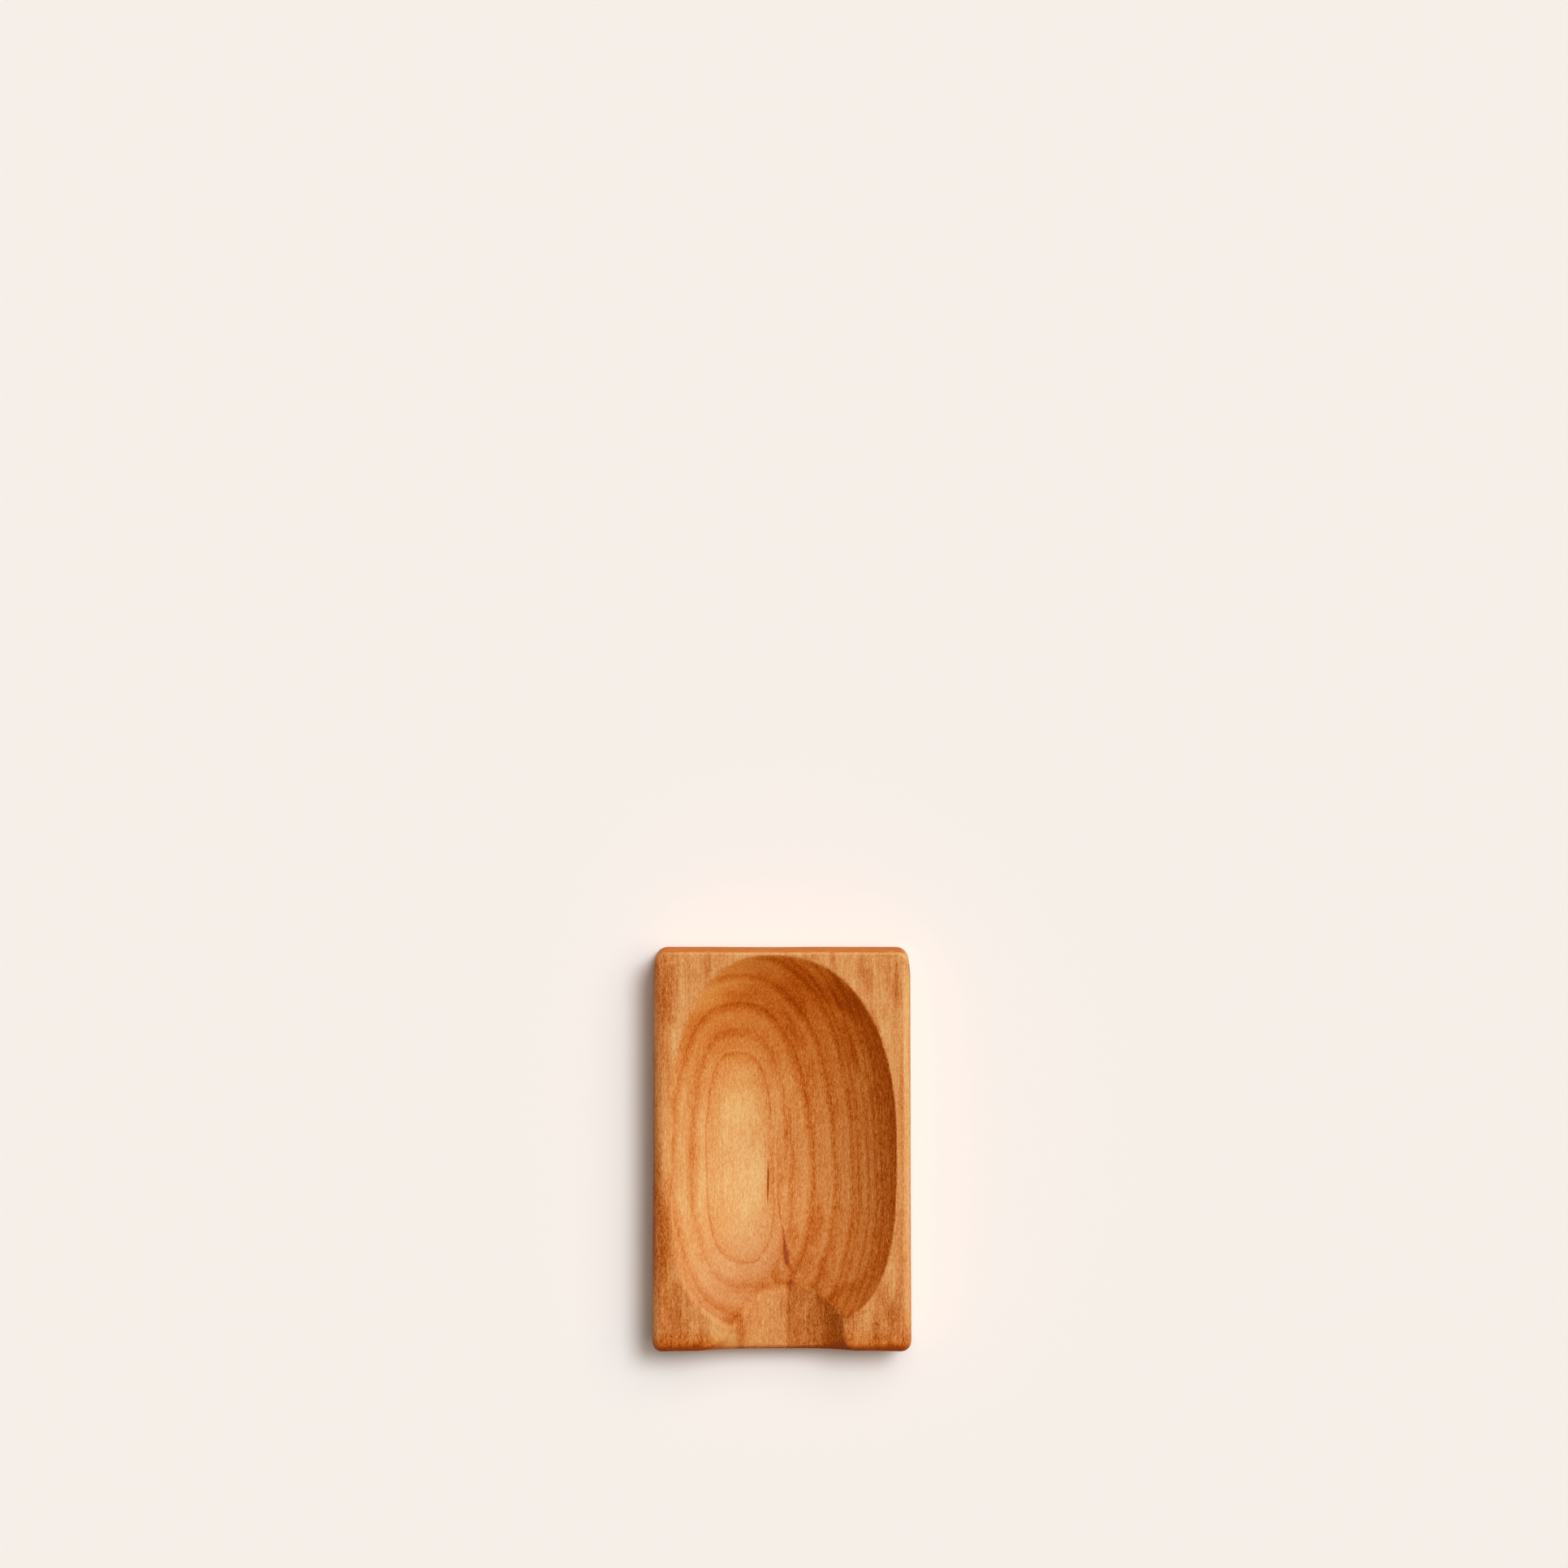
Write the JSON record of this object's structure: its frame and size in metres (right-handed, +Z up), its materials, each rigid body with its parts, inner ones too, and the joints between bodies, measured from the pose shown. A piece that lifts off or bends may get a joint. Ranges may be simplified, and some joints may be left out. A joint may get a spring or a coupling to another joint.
{
  "type": "spoon rest",
  "caption": "Rectangular spoon rest carved from solid wood, with a long rounded bowl for the spoon's head and an open channel for its handle at the front.",
  "frame": {"origin": "middle of the block's footprint, on the flat face it rests on", "axes": "+Z up, +Y along the length from the handle channel at the front to the bowl's closed end, +X to the right seen from above with the channel at the bottom"},
  "size_m": [0.09, 0.14, 0.02],
  "materials": {
    "wood": "oiled satin, reddish-brown fruitwood with growth rings open in the bowl"
  },
  "bodies": {
    "root": {"carved_block": "wood"}
  },
  "joints": []
}
